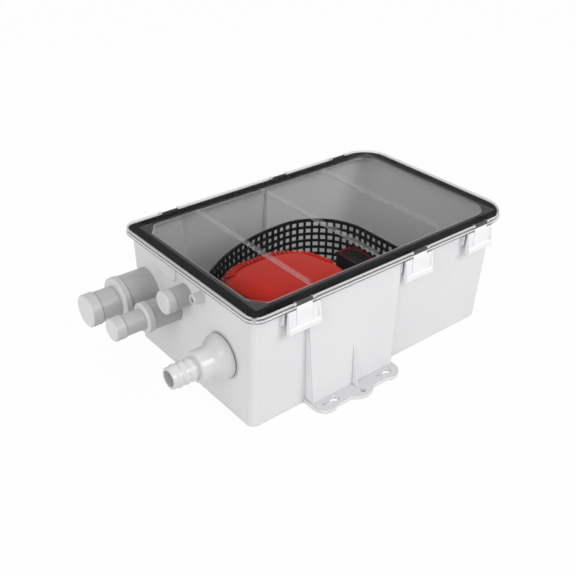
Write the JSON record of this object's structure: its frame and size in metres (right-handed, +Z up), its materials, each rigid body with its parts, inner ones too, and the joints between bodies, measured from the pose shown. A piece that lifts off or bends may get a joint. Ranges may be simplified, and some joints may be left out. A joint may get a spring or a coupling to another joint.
{
  "type": "shower sump pump",
  "caption": "Drafted tub with a clear latched lid, stepped inlet spigots, a barbed discharge with a flap valve, a mesh strainer, a cartridge pump and a float switch.",
  "frame": {"origin": "on the base plane, midway between the two centre holes of the feet", "axes": "+Z up out of the tub, +X along the tub away from the ports, +Y across it towards the back feet"},
  "size_m": [0.3682, 0.236, 0.117],
  "materials": {
    "tub_plastic": "satin moulded light grey",
    "inlet_plastic": "satin moulded mid grey",
    "fitting_plastic": "satin moulded pale grey",
    "latch_plastic": "satin moulded white",
    "clear_lid": "clear polished",
    "gasket_rubber": "matt",
    "soft_rubber": "matt",
    "hose_rubber": "ribbed matt",
    "black_plastic": "satin moulded black",
    "pump_grey": "satin dark grey",
    "impeller_plastic": "satin dark grey",
    "cap_red": "glossy red",
    "switch_red": "dark red rim",
    "float_plastic": "satin off-white",
    "steel": "bright",
    "can_steel": "drawn",
    "magnet": "sintered",
    "armature_iron": "varnished windings",
    "bush_bronze": "sintered"
  },
  "bodies": {
    "tub": {"sump_box": "tub_plastic", "inlet_port_large": "inlet_plastic", "inlet_port_medium": "inlet_plastic", "inlet_port_small": "inlet_plastic", "cable_nozzle": "fitting_plastic", "cable_grommet": "soft_rubber", "discharge_fitting": "fitting_plastic", "discharge_seal": "soft_rubber", "discharge_nut": "fitting_plastic", "flap_pin": "steel", "discharge_hose": "hose_rubber", "hose_clamp_wall": "steel", "hose_clamp_pump": "steel", "strainer_screen": "black_plastic", "pump_base": "pump_grey", "base_screws": "steel", "volute": "pump_grey", "pump_screws": "steel", "shaft_seal": "soft_rubber", "motor_housing": "pump_grey", "motor_can": "can_steel", "motor_magnets": "magnet", "bearing_lower": "bush_bronze", "bearing_upper": "bush_bronze", "pump_cap": "cap_red", "cap_seal": "soft_rubber", "float_switch_case": "black_plastic", "switch_cover": "switch_red", "switch_screws": "steel", "float_pin": "steel"},
    "lid": {"lid": "clear_lid", "lid_gasket": "gasket_rubber"},
    "latch_front_port": {"latch_front_port": "latch_plastic"},
    "latch_front_middle": {"latch_front_middle": "latch_plastic"},
    "latch_front_far": {"latch_front_far": "latch_plastic"},
    "latch_back_port": {"latch_back_port": "latch_plastic"},
    "latch_back_middle": {"latch_back_middle": "latch_plastic"},
    "latch_back_far": {"latch_back_far": "latch_plastic"},
    "rotor": {"impeller": "impeller_plastic", "motor_shaft": "steel", "armature": "armature_iron"},
    "float": {"float_lever": "float_plastic"},
    "flap": {"check_flap": "soft_rubber"}
  },
  "joints": [
    {"name": "lid_lift", "type": "slide", "parent": "tub", "child": "lid", "axis": [0, 0, 1], "range_m": [0, 0.12]},
    {"name": "latch_front_port_hinge", "type": "hinge", "parent": "lid", "child": "latch_front_port", "pos_m": [-0.06, -0.0983, 0.11469], "axis": [-1, 0, 0], "range_deg": [0, 100]},
    {"name": "latch_front_middle_hinge", "type": "hinge", "parent": "lid", "child": "latch_front_middle", "pos_m": [0.0715, -0.0983, 0.11469], "axis": [-1, 0, 0], "range_deg": [0, 100]},
    {"name": "latch_front_far_hinge", "type": "hinge", "parent": "lid", "child": "latch_front_far", "pos_m": [0.153, -0.0983, 0.11469], "axis": [-1, 0, 0], "range_deg": [0, 100]},
    {"name": "latch_back_port_hinge", "type": "hinge", "parent": "lid", "child": "latch_back_port", "pos_m": [-0.06, 0.0983, 0.11469], "axis": [1, 0, 0], "range_deg": [0, 100]},
    {"name": "latch_back_middle_hinge", "type": "hinge", "parent": "lid", "child": "latch_back_middle", "pos_m": [0.0715, 0.0983, 0.11469], "axis": [1, 0, 0], "range_deg": [0, 100]},
    {"name": "latch_back_far_hinge", "type": "hinge", "parent": "lid", "child": "latch_back_far", "pos_m": [0.153, 0.0983, 0.11469], "axis": [1, 0, 0], "range_deg": [0, 100]},
    {"name": "rotor_spin", "type": "hinge", "parent": "tub", "child": "rotor", "pos_m": [-0.0292, -0.0282, 0.06], "axis": [0, 0, 1], "continuous": true},
    {"name": "float_swing", "type": "hinge", "parent": "tub", "child": "float", "pos_m": [0.062, -0.0485, 0.036], "axis": [-1, 0, 0], "range_deg": [0, 35]},
    {"name": "flap_swing", "type": "hinge", "parent": "tub", "child": "flap", "pos_m": [-0.11045, -0.05, 0.0631], "axis": [0, 1, 0], "range_deg": [0, 55], "stiffness_Nm_per_rad": 0.00005, "springref_deg": -17.19}
  ]
}
